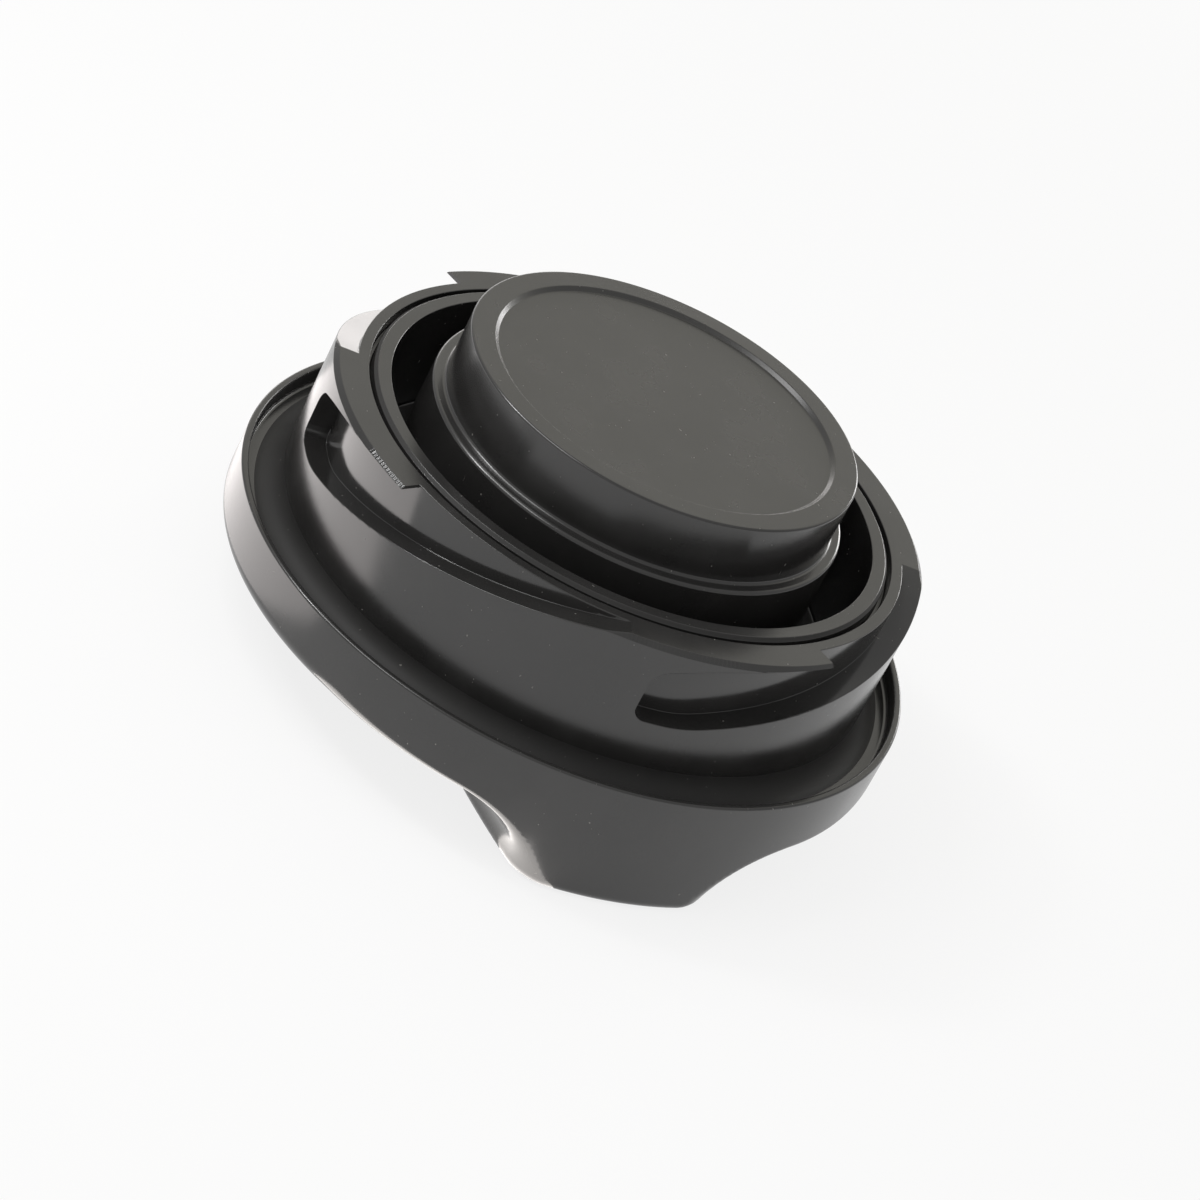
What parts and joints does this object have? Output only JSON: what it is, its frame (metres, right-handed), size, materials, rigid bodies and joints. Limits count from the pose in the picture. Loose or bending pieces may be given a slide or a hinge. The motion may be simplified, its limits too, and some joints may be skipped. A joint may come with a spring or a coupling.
{
  "type": "oil filler cap",
  "caption": "Machined oil filler cap: quarter-turn bayonet skirt with helical slots, central plug, seal channel and a scooped finger grip.",
  "frame": {"origin": "on the cap's axis, in the flat outer face of the grip, which the cap stands on", "axes": "+Z along the axis, out of the plug that enters the filler neck; X along the grip bar, with a finger scoop on each side of it in Y"},
  "size_m": [0.07, 0.07, 0.0341],
  "materials": {
    "cap_body": "black anodised, satin, fine turning marks"
  },
  "bodies": {
    "root": {"cap_body": "cap_body"}
  },
  "joints": []
}
